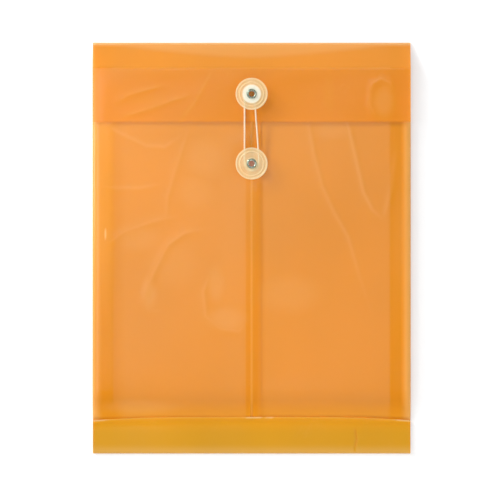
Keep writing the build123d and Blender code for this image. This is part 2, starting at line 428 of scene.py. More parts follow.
# Each crease has its line of places, half width, height and paleness; the paleness is whitening of the crease
# with a painted reflection on its ridge. Each painted reflection has its middle, half sizes and paleness.
front_creases = [
    ([(72, 104), (76, 92), (81, 71), (87, 44), (94, 30), (106, 19)], 2.4, 0.08, 0.2),
    ([(102, 20), (109, 48), (113, 84)], 2.2, 0.06, 0.1),
    ([(43, 104), (45, 93), (49, 71), (55, 48), (65, 27), (75, 9), (84, -22), (97, -60)], 2.5, 0.07, 0.15),
    ([(-118, 98), (-101, 89), (-82, 80), (-68, 79), (-50, 91)], 2.2, 0.06, 0.14),
    ([(-126, 49), (-104, 47), (-88, 47), (-66, 51)], 2.2, 0.04, 0.14),
    ([(-120, -2), (-99, 13), (-77, 21), (-54, 26)], 3.2, 0.07, 0.12),
    ([(-28, 17), (-52, 12), (-65, 3), (-77, -20), (-84, -38), (-80, -48), (-66, -50)], 3.4, 0.09, 0.13),
    ([(-28, -8), (-38, -34), (-36, -53), (-24, -63), (-10, -65), (0, -52)], 3.4, 0.08, 0.12),
    ([(-48, 98), (-60, 60), (-66, 40), (-68, 10)], 3.0, 0.06, 0.1),
]
front_painted_reflections = [
    (-80, -36, 8, 17, 0.16),
    (-28, -28, 9, 20, 0.13),
    (-20, -55, 22, 12, 0.13),
    (-60, -12, 26, 26, 0.06),
    (30, -36, 34, 20, 0.1),
    (-36, 70, 22, 22, 0.1),
    (-44, 44, 20, 18, 0.08),
    (-90, 8, 26, 14, 0.09),
    (-88, -124, 42, 8, 0.12),
    (62, 92, 20, 11, 0.1),
    # A painted glint on the left side roll.
    (-114.0, 11.0, 1.3, 6.5, 0.75),
]
broad_wave = 0.28
slant_wave = 0.14
lap_swell = 0.32
lap_swell_band = (-26, 0, 3.5, 9.5)
lap_swell_end = (78, 96)
still_along = (tab_edge_y + 4, tab_edge_y + 40, 105, score_y)
still_side = (108, 121)
still_button = (8, 24)


def front_wave(x, y):
    """Gentle waves and soft creases of the front, which die out at its edges and under the button."""
    swell = broad_wave * math.sin(0.031 * x + 0.4) * math.sin(0.024 * y + 0.9)
    swell += slant_wave * math.sin(0.045 * (0.8 * x + 0.6 * y) + 1.3)
    swell += lap_swell * between(x, *lap_swell_band) * (1 - smooth_step(y, *lap_swell_end))
    creases = sum(height * ridge(x, y, line, width) for line, width, height, _ in front_creases)
    still = between(y, *still_along) * (1 - smooth_step(abs(x), *still_side))
    return (swell + creases) * still * smooth_step(math.hypot(x, y - lower_button_y), *still_button)


def front_fall(y):
    """Run past the score, with the score's own bend softened."""
    past = y - score_y
    if abs(past) < score_bend:
        return (past + score_bend) ** 2 / (4 * score_bend)
    return max(past, 0.0)


def front_level(y, levels):
    """Middle height of a half of the front along the envelope, from the tab to the mouth."""
    low, high = levels
    if y < foot_end_y:
        share = (y - tab_edge_y) / (foot_end_y - tab_edge_y)
        return low + (high - low) * (1 - (1 - max(share, 0.0)) ** foot_bulge)
    return max(high - front_fall(y) * slope, low)


def side_roll(x, y, levels):
    """How far the film has rolled down towards the gusset at the side of the envelope."""
    share = max(0.0, (abs(x) - side_x + side_roll_width) / side_roll_width)
    loft = (front_level(y, levels) - levels[0]) / (levels[1] - levels[0])
    return side_roll_drop * loft * (1 - math.sqrt(max(0.0, 1 - share**2)))


def crease_whitening_and_reflection(x, y, creases, half_width):
    """Paleness of the strongest crease at a place: its whitening with a painted reflection on its ridge."""
    return max(pale * ridge(x, y, line, half_width) for line, _, _, pale in creases)


def painted_reflection_paleness(x, y, patches):
    """Paleness of the strongest painted reflection at a place."""
    return max(pale * patch(x, y, *spot) for *spot, pale in patches)


def on_gusset_strip(x, y):
    """Share of the strip over the left gusset that gets a painted highlight, which fades towards the foot."""
    return smooth_step(-x, 103.0, 114.0) * smooth_step(y, -70.0, 10.0)


left_roll_pale_and_highlight = 0.41
right_roll_pale_and_highlight = 0.42
roll_start_x = side_x - 8.5
left_strip_highlight_pale = 0.1
haze_pale = 0.09
haze_band = (-111.0, -101.0, 105.5, 109.5)
lap_band = (-5.0, -3.8, 3.8, 6.0)
mouth_pale = 0.5
mouth_pale_width = 0.8
under_seam_pale = 0.1
under_seam_width = 3.5
front_crease_width = 1.5
lap_edge_shadow_depth = 0.04
lap_edge_shadow_band = (4.0, 6.5, 8.0, 12.5)
gusset_crease_shadow_depth = 0.05
gusset_crease_shadow_band = (97.0, 103.0, 106.0, 110.0)
left_strip_highlight_cover = 0.16
above_lip_painted_light = 0.34
right_roll_painted_light = 0.3


def front_whitening_and_painted_light(x, y, is_under):
    """Whitening of the front at its mouth, lap and creases and as haze between the gussets, with painted
    highlights at its rolled sides and left strip, painted reflections, and painted shade beside the lap and
    the left gusset.
    """
    # The rolled side: whitening of its fold and a painted highlight where the roll turns down.
    roll_pale_and_highlight = left_roll_pale_and_highlight if x < 0 else right_roll_pale_and_highlight
    rolled_pale_and_highlight = roll_pale_and_highlight * smooth_step(abs(x), roll_start_x, side_x)
    # Painted highlight on the strip over the left gusset, above the real extra gusset layers there.
    left_strip_highlight = left_strip_highlight_pale * on_gusset_strip(x, y)
    hazy = haze_pale * between(x, *haze_band) * (1 - between(x, *lap_band))
    mouth = mouth_pale * smooth_step(y, mouth_edge(x) - mouth_pale_width, mouth_edge(x))
    seam = 0.0
    if is_under:
        seam = under_seam_pale * (1 - smooth_step(x, seam_left_x, seam_left_x + under_seam_width))
    creased = hazy + crease_whitening_and_reflection(x, y, front_creases, front_crease_width)
    # Painted reflections, over the haze between the gussets.
    painted_reflections = hazy + painted_reflection_paleness(x, y, front_painted_reflections)
    # Painted shadow that the lap's free edge casts on the film to its right.
    lap_edge_shadow = lap_edge_shadow_depth * between(x, *lap_edge_shadow_band)
    # Painted shade beside the inner crease of the left gusset.
    gusset_crease_shadow = gusset_crease_shadow_depth * between(-x, *gusset_crease_shadow_band)
    return max(rolled_pale_and_highlight, left_strip_highlight, mouth, seam, creased, painted_reflections) - lap_edge_shadow - gusset_crease_shadow


def front_painted_light_cover(x, y):
    """Extra cover that paints light on the front: over the left gusset, in the band above the tab's lip and
    at the right roll.
    """
    near_lip = 1 - smooth_step(y, tab_edge_y + 2, tab_edge_y + 17)
    right_roll = smooth_step(x, roll_start_x, side_x - 3.0)
    return max(left_strip_highlight_cover * on_gusset_strip(x, y), above_lip_painted_light * near_lip, right_roll_painted_light * right_roll)


score_reach = 3
fine_step = 0.5
score_step = 0.6
fine_side_x = 118.0


def front_half(name, xs, levels, is_under):
    """One half of the front, with its hole for the eyelet and its mouth cut to shape."""
    ys = spread(tab_edge_y + crease_gap, film_step, lower_button_y - hole_patch, film_step,
                lower_button_y + hole_patch, film_step, score_y - score_reach, score_step,
                score_y + score_reach, film_step, mouth_side_y)

    def place(x, y):
        stretch = smooth_step(y, score_y + score_reach, mouth_side_y)
        cut_y = y - (mouth_side_y - mouth_edge(x)) * stretch
        height = front_level(cut_y, levels) - side_roll(x, cut_y, levels) + front_wave(x, cut_y)
        return Vector((x, cut_y, height))

    points, faces = pierced_sheet(xs, ys, lower_button_y, place)
    whitening_and_painted_light = [front_whitening_and_painted_light(point.x, point.y, is_under) for point in points]
    painted_light_cover = [front_painted_light_cover(point.x, point.y) for point in points]
    return film_piece(name, points, faces, whitening_and_painted_light, panel_film, painted_light_cover)


left_xs = spread(-side_x, fine_step, -fine_side_x, film_step, -hole_patch, film_step,
                 hole_patch, fine_step, seam_right_x)
right_xs = spread(seam_left_x, fine_step, -hole_patch, film_step,
                  hole_patch, film_step, fine_side_x, fine_step, side_x)
for half, xs, levels, is_under in (
    ("left", left_xs, left_levels, False),
    ("right", right_xs, right_levels, True),
):
    piece = front_half(f"front_{half}_film", xs, levels, is_under)
    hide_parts(f"front_{half}_foot", f"front_{half}_panel", f"front_{half}_mouth")
    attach(piece, "front")

# Seam weld: the lap of the two halves is sealed by a heated ribbed wheel, which leaves a narrow pale line
# of fine ribs down the middle of the front. It stops short of the riveted button on both sides.
weld_half_width = 1.3
weld_rib = 0.85
weld_height = 0.03
weld_valley_share = 0.4
weld_lift = 0.01
weld_steps = 5
weld_clear_of_button = 5.0
weld_pale = 0.17
weld_tint = (1.0, 0.41, 0.015)
weld_whitened = (1.0, 0.6, 0.3)
weld_cover = 0.5
weld_film = film_material("weld_film", weld_tint, weld_whitened, weld_cover)


def weld_line(name, start_y, end_y):
    """Ribbed line pressed on the lap of the front."""
    xs = spread(-weld_half_width, weld_half_width / weld_steps, weld_half_width)
    ys = spread(start_y, weld_rib / weld_steps, end_y)
    points, whitening_and_painted_light = [], []
    for y in ys:
        rib = 0.5 + 0.5 * math.cos(2 * math.pi * y / weld_rib)
        rise = weld_height * (weld_valley_share + (1 - weld_valley_share) * rib)
        for x in xs:
            crown = math.cos(math.pi / 2 * x / weld_half_width) ** 2
            height = front_level(y, left_levels) + front_wave(x, y) + weld_lift
            points.append(Vector((x, y, height + rise * crown)))
            whitening_and_painted_light.append(weld_pale * crown)
    faces = grid_faces(len(xs), len(ys))
    piece = film_piece(name, points, faces, whitening_and_painted_light, weld_film)
    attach(piece, "front")


weld_line("seam_weld_lower", tab_edge_y + 0.4, lower_button_y - weld_clear_of_button)
weld_line("seam_weld_upper", lower_button_y + weld_clear_of_button, mouth_middle_y - 0.6)

# Side gussets: two pleats of the same film, folded in between front and back, let the pocket open. Each
# is made as its two leaves, which meet at the inner crease. A leaf starts at the panel at its outer edge
# and runs in to the crease.
gusset_back_height = 0.35
gusset_edge_gap = 0.15
gusset_bow = 0.35
layer_gap = 0.05
crease_half_gap = 0.12
gusset_crease_pale = 0.08
gusset_crease_share = 0.93
gusset_tint = (1.0, 0.495, 0.004)
gusset_whitened = (1.0, 0.6, 0.2)
gusset_cover = 0.52
gusset_film = film_material("gusset_film", gusset_tint, gusset_whitened, gusset_cover)


def gusset_leaf(half, side, levels, is_front):
    """One leaf, from the rolled side of the envelope in to the inner crease."""
    ys = spread(tab_edge_y + crease_gap, 1.6, foot_end_y, 6.0, score_y - score_reach, film_step, mouth_side_y)
    shares = spread(0.0, 0.04, 0.2, 0.1, 0.8, 0.04, 1.0)
    outer_x = side_x - gusset_edge_gap
    points, whitening_and_painted_light = [], []
    for y in ys:
        front_edge = front_level(y, levels) - side_roll(side_x, y, levels) - film_thickness - layer_gap
        middle = (gusset_back_height + front_edge) / 2
        if is_front:
            outer, inner = front_edge, middle + crease_half_gap
        else:
            outer, inner = gusset_back_height, middle - crease_half_gap
        for share in shares:
            bowed = share + gusset_bow * share * (1 - share)
            height = outer + (inner - outer) * bowed
            points.append(Vector((side * (outer_x - (outer_x - inner_crease_x) * share), y, height)))
            whitening_and_painted_light.append(gusset_crease_pale * smooth_step(share, gusset_crease_share, 1.0))
    name = f"{half}_gusset_{'front' if is_front else 'back'}_leaf"
    piece = film_piece(f"{name}_film", points, grid_faces(len(shares), len(ys)), whitening_and_painted_light, gusset_film)
    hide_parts(name)
    outside = (side * side_x * mm, 0, 0)
    mirrored = (side * (2 * inner_crease_x - side_x) * mm, 0, 0)
    start, end = (mirrored, outside) if is_front else (outside, mirrored)
    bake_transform(piece)
    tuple(start)
    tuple(end)


for half, side, levels in (("left", -1, left_levels), ("right", 1, right_levels)):
    for is_front in (False, True):
        gusset_leaf(half, side, levels, is_front)

# Bottom tab: the end of the folded tube, turned up over the front and welded across. The back film is its
# outer layer, the front film its inner one, and the gusset leaves are folded in between at both sides. Its
# free lip bows up in the middle, stands clear of the front, and a press line runs across it.
fold_middle_z = 1.075
lip_end_y = tab_edge_y - crease_gap
inner_end_y = tab_edge_y - 0.3
front_end_y = tab_edge_y - 0.15
front_layer_z = 0.85
lapped_layer_z = 0.6
inner_turn_steps = 8
outer_turn_steps = 14
lip_bow = 2.8
lip_lift = 0.72
lip_lift_width = 5
lip_ripple = 0.12
press_y = -139.3
press_depth = 0.05
press_width = 0.7
tab_crease = [(81.0, -139.0), (81.5, -145.0), (82.0, -150.0), (80.5, -156.0), (81.0, -162.0)]
tab_crease_depth = 0.16
tab_whitened = (1.0, 0.78, 0.4)
tab_tint = (0.92, 0.465, 0.016)
lip_tint = (1.0, 0.47, 0.012)


def tab_film_material():
    """Film of the tab, whose tint goes over into that of the single lip along the press line."""
    material = film_material("tab_film", tab_tint, tab_whitened, film_cover)
    tree = material.node_tree
    skin = next(node for node in tree.nodes if node.type == "GROUP")
    place = add_node(tree, "ShaderNodeTexCoord").outputs["Object"]
    along = add_node(tree, "ShaderNodeSeparateXYZ", {"Vector": place}).outputs["Y"]
    lip_share = remap(along, (press_y - 5.0) * mm, (press_y + 2.0) * mm, 0.0, 1.0)
    feed(skin, {"Tint": mix_colours(lip_share, (*tab_tint, 1), (*lip_tint, 1))})
    return material


tab_film = tab_film_material()


def tab_line(low_z, lower_end_y, end_y, steps):
    """Places along one film of the tab: its lower run, the turn at the fold and its upper run."""
    line = [(y, low_z) for y in spread(lower_end_y, 6.0, fold_start_y)[:-1]]
    line += arc_line(fold_start_y, fold_middle_z, fold_middle_z - low_z, -90, -270, steps)
    return line + [(y, 2 * fold_middle_z - low_z) for y in spread(fold_start_y, 1.5, end_y)[1:]]


def tab_layers(name, node, layers):
    """Plain inner films of the tab, one or more, as one piece."""
    points, faces = [], []
    for low_z, lower_end_y, xs in layers:
        line = tab_line(low_z, lower_end_y, inner_end_y, inner_turn_steps)
        first = len(points)
        points += [Vector((x, y, z)) for y, z in line for x in xs]
        faces += [tuple(first + index for index in face) for face in grid_faces(len(xs), len(line))]
    piece = film_piece(name, points, faces, [0.0] * len(points), tab_film)
    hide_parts(node)
    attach(piece, "pocket")


tab_xs = spread(-side_x, 3.0, 78.0, 0.6, 85.0, 3.0, side_x)
lap_xs = [seam_left_x, 0.0, seam_right_x]
inner_layers = [(front_layer_z, front_end_y, tab_xs), (lapped_layer_z, front_end_y, lap_xs)]
tab_layers("bottom_tab_inner_film", "bottom_tab_inner", inner_layers)
for half, side in (("left", -1), ("right", 1)):
    xs = sorted(side * x for x in spread(inner_crease_x, 4.0, side_x - 0.1))
    gusset_layers = [(low_z, tab_edge_y, xs) for low_z in (gusset_back_height, lapped_layer_z)]
    tab_layers(f"{half}_gusset_tab_film", f"{half}_gusset_tab", gusset_layers)

lip_highlight_pale = 0.15
lip_glint_pale = 0.6
lip_highlight_width = 0.7
lip_glint_lap_band = (-6, -3, 7, 9)
lip_glint_spot_band = (12, 13, 16, 17)
turn_pale = 0.22
tab_crease_shade = 0.35


def lip_shine(x):
    """Painted highlight along the lip, strongest where the lap and the gussets stiffen it."""
    lap = max(between(x, *lip_glint_lap_band), between(x, *lip_glint_spot_band))
    return lip_highlight_pale + lip_glint_pale * max(lap, smooth_step(abs(x), 111, 114))


def lip_form(x, y, run, lip_y):
    """Height that the upper run of the outer film gains towards its lip, less its press line and crease."""
    lifted = lip_lift * smooth_step(y, lip_y - lip_lift_width, lip_y)
    pressed = press_depth * math.exp(-(((y - press_y) / press_width) ** 2))
    folded = tab_crease_depth * ridge(x, y, tab_crease, 0.9)
    return lifted - folded + lip_ripple * math.sin(0.09 * x + 0.5) * run - pressed


outer_line = tab_line(back_height, fold_start_y, lip_end_y, outer_turn_steps)
upper_height = 2 * fold_middle_z - back_height
outer_points, outer_whitening_and_painted_light = [], []
for line_y, line_z in outer_line:
    is_upper = line_z > upper_height - 0.01
    run = (line_y - fold_start_y) / (lip_end_y - fold_start_y) if is_upper else 0.0
    for x in tab_xs:
        bow = lip_bow * (1 - (x / side_x) ** 4)
        y = line_y + bow * max(run, 0.0) ** 2
        lip_y = lip_end_y + bow
        pale = turn_pale * (1 - smooth_step(y, -160.4, -152.0))
        if is_upper:
            outer_points.append(Vector((x, y, line_z + lip_form(x, y, run, lip_y))))
            # Painted highlight along the lip.
            lip = lip_shine(x) * smooth_step(y, lip_y - lip_highlight_width, lip_y)
            # Painted shade along the tab's crease.
            outer_whitening_and_painted_light.append(max(lip, pale) - tab_crease_shade * ridge(x, y, tab_crease, 0.8))
        else:
            outer_points.append(Vector((x, y, line_z)))
            outer_whitening_and_painted_light.append(pale)
outer_faces = grid_faces(len(tab_xs), len(outer_line))
tab_outer = film_piece("bottom_tab_outer_film", outer_points, outer_faces, outer_whitening_and_painted_light, tab_film)
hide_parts("bottom_tab_outer")
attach(tab_outer, "pocket")

# Flap: the end of the back film, folded over the mouth. It turns on the top crease and on a second score
# 20 mm from it, slopes up between the two, and then lies flat on the front down to its cut edge.
flap_edge_y = 98.5
flap_height = 7.95
crease_top_z = 1.1
upper_button_y = 120.0
flap_creases = [
    ([(-29, 142), (-43, 116), (-58, 96)], 2.2, 0.04, 0.1),
    ([(-107, 101), (-78, 109), (-60, 116), (-41, 120)], 2.2, 0.08, 0.14),
    ([(-107, 112), (-97, 119), (-80, 124), (-64, 128)], 2.4, 0.08, 0.12),
    ([(92, 118), (94, 128), (101, 132), (108, 129), (114, 114)], 2.4, 0.12, 0.14),
    ([(93, 124), (92, 112), (98, 99)], 2.4, 0.12, 0.14),
]
flap_painted_reflections = [
    (103, 114, 12, 18, 0.2),
    (60, 120, 6, 22, 0.06),
    (-82, 115, 24, 7, 0.05),
]
flap_broad_wave = 0.16
flap_slant_wave = 0.1
flap_sag = 0.25
score_groove = 0.06
score_groove_width = 0.7
score_ends = (104, 112)


def flap_wave(x, y):
    """Gentle waves and soft creases of the flap, which die out at its score, its sides and its button."""
    swell = flap_broad_wave * math.sin(0.04 * x + 1.0) * math.sin(0.05 * y)
    swell += flap_slant_wave * math.sin(0.06 * x - 0.03 * y)
    creases = sum(height * ridge(x, y, line, width) for line, width, height, _ in flap_creases)
    still = (1 - smooth_step(y, 126, 139)) * (1 - smooth_step(abs(x), 104, 123))
    return (swell + creases) * still * smooth_step(math.hypot(x, y - upper_button_y), 8, 20)


def flap_place(x, y):
    """Place on the flap's middle surface; past the end of the slope, y runs on round the top crease."""
    if y > roll_start_y:
        turn = (y - roll_start_y) / crease_roll
        rolled_z = crease_top_z - crease_roll * (1 - math.cos(turn))
        return Vector((x, roll_start_y + crease_roll * math.sin(turn), rolled_z))
    height = max(flap_height - front_fall(y) * slope, crease_top_z)
    sag = flap_sag * smooth_step(abs(x), 116, side_x) * (1 - smooth_step(y, score_y - 10, score_y))
    groove = score_groove * math.exp(-(((y - score_y) / score_groove_width) ** 2))
    groove *= 1 - smooth_step(abs(x), *score_ends)
    return Vector((x, y, height + flap_wave(x, y) - sag - groove))


score_pale = 0.2
score_pale_width = 0.8
above_score_reflection = 0.12
bare_flap_reflection = 0.17
top_middle_reflection = 0.12
top_crease_pale = 0.75
flap_side_highlight = 0.3
flap_crease_width = 1.4
doubled_depth = 0.06


def flap_whitening_and_painted_light(x, y):
    """Whitening of the flap at its score, creases and top crease; painted highlights at its sides; painted
    reflections on its patches, its slope and above the mouth; less a deeper tint below the score.
    """
    scored = score_pale * math.exp(-(((y - score_y) / score_pale_width) ** 2))
    scored *= 1 - smooth_step(abs(x), 106, 112)
    creased = crease_whitening_and_reflection(x, y, flap_creases, flap_crease_width)
    # Painted reflections on the flap.
    painted_reflections = painted_reflection_paleness(x, y, flap_painted_reflections)
    # Painted reflection on the slope above the score, above the mouth and at the top in the middle.
    slope_reflection = above_score_reflection * smooth_step(y, score_y - 1.2, score_y + 0.8)
    slope_reflection += bare_flap_reflection * smooth_step(y, mouth_edge(x) - 0.3, mouth_edge(x) + 3.5)
    slope_reflection += top_middle_reflection * smooth_step(y, 152, top_y) * (1 - smooth_step(abs(x), 80, 110))
    top_crease = top_crease_pale * smooth_step(y, top_y - 3.6, top_y - 0.3)
    # Painted highlight along the flap's side edges.
    edge = flap_side_highlight * smooth_step(abs(x), side_x - 1.2, side_x)
    doubled = doubled_depth * (1 - smooth_step(y, 128, 142))
    return max(scored, creased, painted_reflections, slope_reflection, top_crease, edge) - doubled


flap_fine_x = 115.0
flap_step = 1.3
roll_step = 0.12
flap_xs = spread(-side_x, film_step, -flap_fine_x, flap_step, -hole_patch, film_step, hole_patch, flap_step,
                 flap_fine_x, film_step, side_x)
flap_ys = spread(flap_edge_y, film_step, 101.5, flap_step, upper_button_y - hole_patch, film_step,
                 upper_button_y + hole_patch, flap_step, score_y - 2, 0.25, score_y + 2, 1.5,
                 top_y - 2.0, 0.4, roll_start_y, roll_step, roll_start_y + crease_roll * math.pi / 2)
flap_points, flap_faces = pierced_sheet(flap_xs, flap_ys, upper_button_y, flap_place)
flap_shares = [flap_whitening_and_painted_light(point.x, point.y) for point in flap_points]
flap = film_piece("flap_film", flap_points, flap_faces, flap_shares, panel_film)
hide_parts("flap_rise", "flap_panel")
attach(flap, "flap")

# Buttons: two equal discs moulded in whitish translucent plastic, each on a short hub that keeps it off the
# film and takes the string. A raised rim and a raised ring go round the disc, and its edges are rounded by
# the mould. The upper one stands on the flap, the lower one on the lap of the front.
hub_radius = 4.6
hub_height = 3.4
disc_radius = 12.5
disc_top = 4.4
rim_top = disc_top + 0.35
rim_width = 1.1
rim_foot = 1.25
ring_top = disc_top + 0.25
ring_inner = 8.9
ring_outer = 9.7
ring_flank = 0.15
turned_sides = 96
sharp_angle = 38
section_run = 0.5
corner_steps = 4
upper_base_z = 8.05
lower_base_z = 6.65


def rounded_section(corners):
    """Closed outline of (radius, height) corners, each rounded by its own radius, in short runs."""
    outline = []
    for index, (reach, height, radius) in enumerate(corners):
        corner = Vector((reach, height))
        before = (Vector(corners[index - 1][:2]) - corner).normalized()
        after = (Vector(corners[(index + 1) % len(corners)][:2]) - corner).normalized()
        for step in range(corner_steps + 1):
            share = step / corner_steps
            start, end = corner + before * radius, corner + after * radius
            outline.append(start.lerp(corner, share).lerp(corner.lerp(end, share), share))
    divided = []
    for one, two in zip(outline, outline[1:] + outline[:1]):
        count = max(1, math.ceil((two - one).length / section_run))
        divided += [one.lerp(two, index / count) for index in range(count)]
    return divided


wound_radius = 7.2
underside_band = 0.32
underside_milk = -0.6
ring_milk = 0.45
ring_band = (8.6, 9.0, 9.6, 10.0)
rim_milk = 0.5


def milkiness(reach, height, backed_radius, backed_share, bare):
    """How far the plastic hides what lies under it: clear below, white where hub or string backs it."""
    if abs(height - hub_height) < underside_band and reach > hub_radius + underside_band:
        return underside_milk
    backed = backed_share * (1 - smooth_step(reach, backed_radius - 0.3, backed_radius + 0.6))
    ring = ring_milk * between(reach, *ring_band)
    rim = rim_milk * smooth_step(reach, disc_radius - 1.5, disc_radius - rim_width)
    return max(backed, ring, rim, bare)


def mesh_of(name, shape):
    """Smooth mesh of a built shape, with its faces turned outwards."""
    bmesh.ops.recalc_face_normals(shape, faces=shape.faces)
    mesh = bpy.data.meshes.new(name)
    shape.to_mesh(mesh)
    shape.free()
    mesh.polygons.foreach_set("use_smooth", [True] * len(mesh.polygons))
    return mesh


def turned_piece(name, outline, centre_y, base_z, material, shade, place=None):
    """Round piece turned from a closed outline about an upright axis on the middle line."""
    shape = bmesh.new()
    rings = []
    for side in range(turned_sides):
        angle = 2 * math.pi * side / turned_sides
        ring = []
        for reach, height in outline:
            if place:
                reach, height = place(angle, reach, height)
            spot = (reach * math.cos(angle), centre_y + reach * math.sin(angle), base_z + height)
            ring.append(shape.verts.new(Vector(spot) * mm))
        rings.append(ring)
    count = len(outline)
    for side in range(turned_sides):
        one, two = rings[side - 1], rings[side]
        for index in range(count):
            shape.faces.new((one[index - 1], two[index - 1], two[index], one[index]))
    mesh = mesh_of(name, shape)
    shades = []
    for vert in mesh.vertices:
        reach = math.hypot(vert.co.x / mm, vert.co.y / mm - centre_y)
        shades.append(shade(reach, vert.co.z / mm - base_z))
    store(mesh, "shade", shades)
    mesh.set_sharp_from_angle(angle=math.radians(sharp_angle))
    piece = put_in_scene(name, mesh, material)
    return piece


plastic_ior = 1.49
clear_plastic = ((1.0, 0.86, 0.46, 1), (1.0, 0.9, 0.53, 1))
backed_plastic = (0.96, 1.0, 0.86, 1)
plastic_cover = (-0.06, 0.72)
plastic_roughness = (0.22, 0.4)
shadow_share = 0.6


def button_plastic_material():
    """Milky moulded plastic: cloudy flow in the moulding, faint scuffs, and a shadow that lets light on."""
    material, tree, shader = new_material("button_plastic")
    flow = noise_over(tree, (90, 90, 90), detail=2.0, distortion=0.6)
    scuffs = noise_over(tree, (900, 500, 900), detail=4.0, roughness=0.6)
    milk = read_stored(tree, "shade")
    clear = mix_colours(remap(flow, 0.35, 0.65, 0.0, 1.0), *clear_plastic)
    cover = combine("ADD", remap(milk, -1.0, 1.0, *plastic_cover), remap(flow, *noise_middle, 0.0, 0.04))
    shadow = add_node(tree, "ShaderNodeLightPath").outputs["Is Shadow Ray"]
    feed(shader, {
        "IOR": plastic_ior,
        "Base Color": mix_colours(remap(milk, 0.4, 1.0, 0.0, 0.9), clear, backed_plastic),
        "Roughness": remap(scuffs, 0.35, 0.7, *plastic_roughness),
        "Alpha": combine("MULTIPLY", cover, remap(shadow, 0.0, 1.0, 1.0, shadow_share)),
        "Normal": relief_of(scuffs, strength=0.2, depth=0.00003),
    })
    return material


button_plastic = button_plastic_material()
button_outline = rounded_section([
    (hole_radius, 0.0, 0.05), (hub_radius, 0.0, 0.12), (hub_radius, hub_height, 0.25),
    (disc_radius, hub_height, 0.3), (disc_radius, rim_top, 0.3), (disc_radius - rim_width, rim_top, 0.2),
    (disc_radius - rim_foot, disc_top, 0.12), (ring_outer + ring_flank, disc_top, 0.1),
    (ring_outer, ring_top, 0.1), (ring_inner, ring_top, 0.1), (ring_inner - ring_flank, disc_top, 0.1),
    (hole_radius, disc_top, 0.05),
])
for name, centre_y, base_z, body, *milk in (
    ("upper_button", upper_button_y, upper_base_z, "flap", wound_radius, 1.0, 0.12),
    ("lower_button", lower_button_y, lower_base_z, "front", hub_radius, 0.55, 0.04),
):
    disc = turned_piece(f"{name}_disc", button_outline, centre_y, base_z, button_plastic,
                        lambda reach, height: milkiness(reach, height, *milk))
    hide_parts(name)
    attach(disc, body)

# Eyelets: nickel-plated brass tubes, each pushed through a button and its films and rolled over at both
# ends. The upper end is a smooth domed flange; the lower one splits into eight petals when it is clinched.
bore_radius = 2.3
barrel_radius = 2.55
flange_radius = 3.9
clinch_radius = 3.7
roll_height = 0.6
roll_steps = 12
petals = 8
petal_notch_share = 0.55
petal_notch_power = 6
clean_wall = 0.02
dull_wall = 0.15


def half_round(inner, outer, height):
    """Outline of a rolled edge from its outer to its inner radius."""
    middle, reach = (inner + outer) / 2, (outer - inner) / 2
    angles = [math.pi * step / roll_steps for step in range(roll_steps + 1)]
    return [(middle + reach * math.cos(a), height + roll_height * math.sin(a)) for a in angles]


def split_into_petals(angle, reach, height):
    """Draws the clinched roll in between its petals."""
    if height >= 0 or reach <= barrel_radius:
        return reach, height
    notch = petal_notch_share * abs(math.sin(petals * angle / 2)) ** petal_notch_power
    return barrel_radius + (reach - barrel_radius) * (1 - notch), height


def bore_shine(reach, height):
    """Share of clean bright metal, which is left only on the wall of the bore."""
    return 1 - smooth_step(reach, bore_radius + clean_wall, bore_radius + dull_wall)


outside_nickel = ((0.36, 0.42, 0.33, 1), (0.2, 0.25, 0.18, 1))
bore_nickel = (0.95, 0.94, 0.9, 1)


def nickel_material():
    """Nickel plate, dulled and tarnished outside and bright in the bore, with fine turning marks."""
    material, tree, shader = new_material("eyelet_nickel")
    marks = noise_over(tree, (2500, 2500, 400), detail=3.0)
    tarnish = noise_over(tree, (700, 700, 700), detail=4.0, roughness=0.6)
    bore = read_stored(tree, "shade")
    outside = mix_colours(remap(tarnish, 0.4, 0.75, 0.0, 1.0), *outside_nickel)
    dulled = remap(tarnish, 0.35, 0.75, 0.12, 0.26)
    feed(shader, {
        "Base Color": mix_colours(bore, outside, bore_nickel),
        "Metallic": remap(bore, 0.0, 1.0, 1.0, 0.2),
        "Roughness": combine("ADD", dulled, remap(marks, *noise_middle, 0.0, 0.08)),
        "Normal": relief_of(marks, strength=0.15, depth=0.00002),
    })
    return material


eyelet_nickel = nickel_material()
for name, centre_y, base_z, body, grip in (
    ("upper_eyelet", upper_button_y, upper_base_z, "flap", film_thickness),
    ("lower_eyelet", lower_button_y, lower_base_z, "front", 2 * film_thickness + layer_gap),
):
    flange = half_round(bore_radius, flange_radius, disc_top)
    clinch = reversed(half_round(bore_radius, clinch_radius, 0))
    outline = flange + [(reach, -grip - height) for reach, height in clinch]
    outline += [(barrel_radius, -grip), (barrel_radius, disc_top)]
    eyelet = turned_piece(f"{name}_rivet", outline, centre_y, base_z, eyelet_nickel,
                          bore_shine, split_into_petals)
    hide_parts(name)
    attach(eyelet, body)

# Tie string: one undyed cotton cord, twisted from three strands. It is tied round the hub of the upper
# button, runs down the left side, loops under the lower hub, comes back up and takes a last turn.
string_diameter = 1.2
string_low_z = 8.9
string_high_z = 10.6
left_run_x = -5.5
loop_radius = 5.45
tied_radius = 6.725
hub_step = 30
spline_cut_share = 0.966
spline_steps = 32
twist_pitch = 3.0
strand_count = 3
strand_depth = 0.14
string_sides = 18
string_step = 0.25


def round_hub(centre_y, start, end, start_radius, end_radius, height):
    """Control points at even angles that carry the line round a hub, from one radius to another."""
    points = []
    for angle in spread(start, hub_step, end):
        radius = start_radius + (end_radius - start_radius) * (angle - start) / (end - start)
        reach = radius / spline_cut_share
        turn = math.radians(angle)
        points.append((reach * math.cos(turn), centre_y + reach * math.sin(turn), height))
    return points


